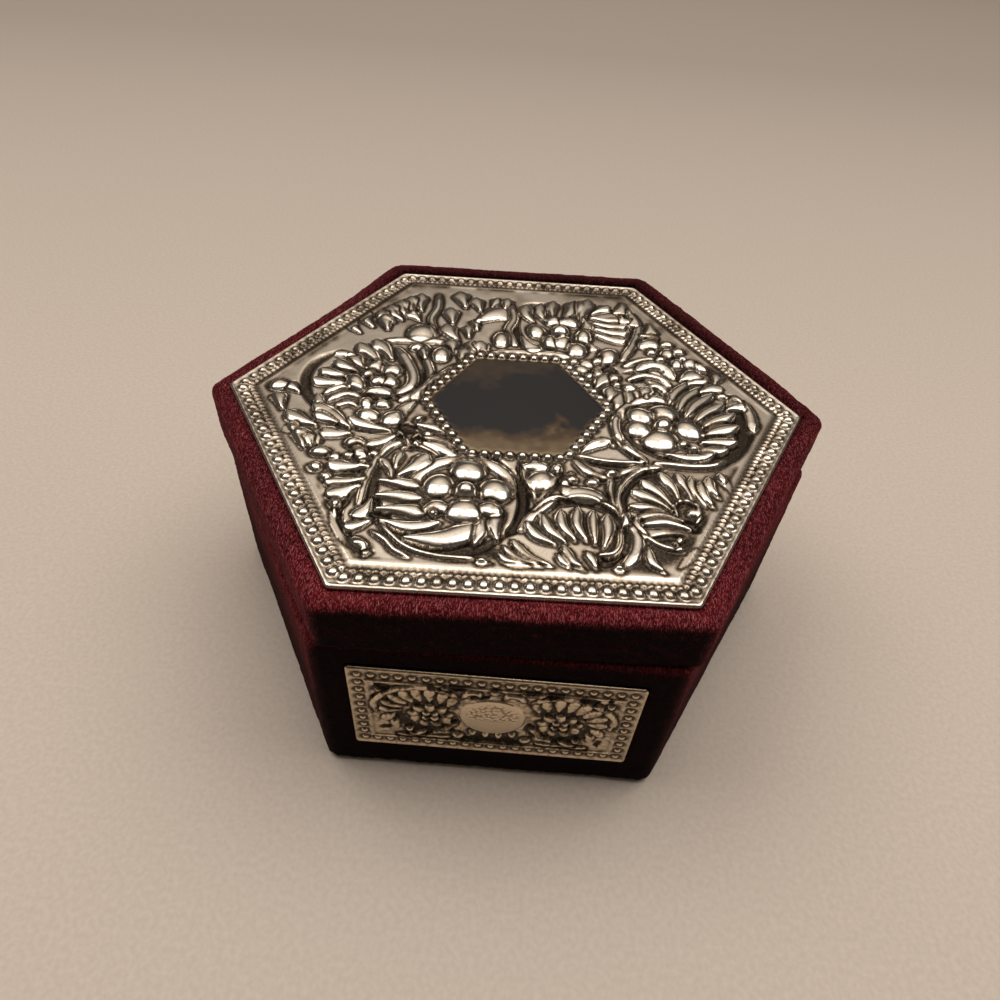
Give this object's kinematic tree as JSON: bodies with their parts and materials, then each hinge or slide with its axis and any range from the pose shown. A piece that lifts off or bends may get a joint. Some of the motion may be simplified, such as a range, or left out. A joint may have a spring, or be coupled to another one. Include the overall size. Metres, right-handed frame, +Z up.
{
  "type": "jewelry box",
  "caption": "Hexagonal velvet-covered box with a lift-off lid over an inner neck, a lined well, and embossed metal plates on the lid and the front wall, for holding small jewelry.",
  "frame": {"origin": "centre of the felt's underside, on the table under the box's centre", "axes": "+Z up, the front wall faces -Y, and two of the six corners lie on the X axis"},
  "size_m": [0.0984, 0.0879, 0.0418],
  "materials": {
    "velvet": "burgundy velvet with a short dense pile",
    "lining": "burgundy velveteen lining",
    "felt": "dark felt",
    "board": "grey-brown bookbinding board",
    "silver": "thin embossed silver-coloured sheet with dark tarnish in the recesses"
  },
  "bodies": {
    "base": {"base_floor_board": "board", "base_wall_board_front": "board", "base_wall_board_front_right": "board", "base_wall_board_back_right": "board", "base_wall_board_back": "board", "base_wall_board_back_left": "board", "base_wall_board_front_left": "board", "neck_board_front": "board", "neck_board_front_right": "board", "neck_board_back_right": "board", "neck_board_back": "board", "neck_board_back_left": "board", "neck_board_front_left": "board", "base_velvet": "velvet", "neck_lining": "lining", "well_pad": "lining", "foot_felt": "felt", "side_plate_front": "silver"},
    "lid": {"lid_top_board": "board", "lid_rim_board_front": "board", "lid_rim_board_front_right": "board", "lid_rim_board_back_right": "board", "lid_rim_board_back": "board", "lid_rim_board_back_left": "board", "lid_rim_board_front_left": "board", "lid_velvet": "velvet", "lid_lining": "lining", "lid_plate": "silver"}
  },
  "joints": [
    {"name": "lid_lift", "type": "slide", "parent": "base", "child": "lid", "axis": [0, 0, 1], "range_m": [0, 0.06]}
  ]
}
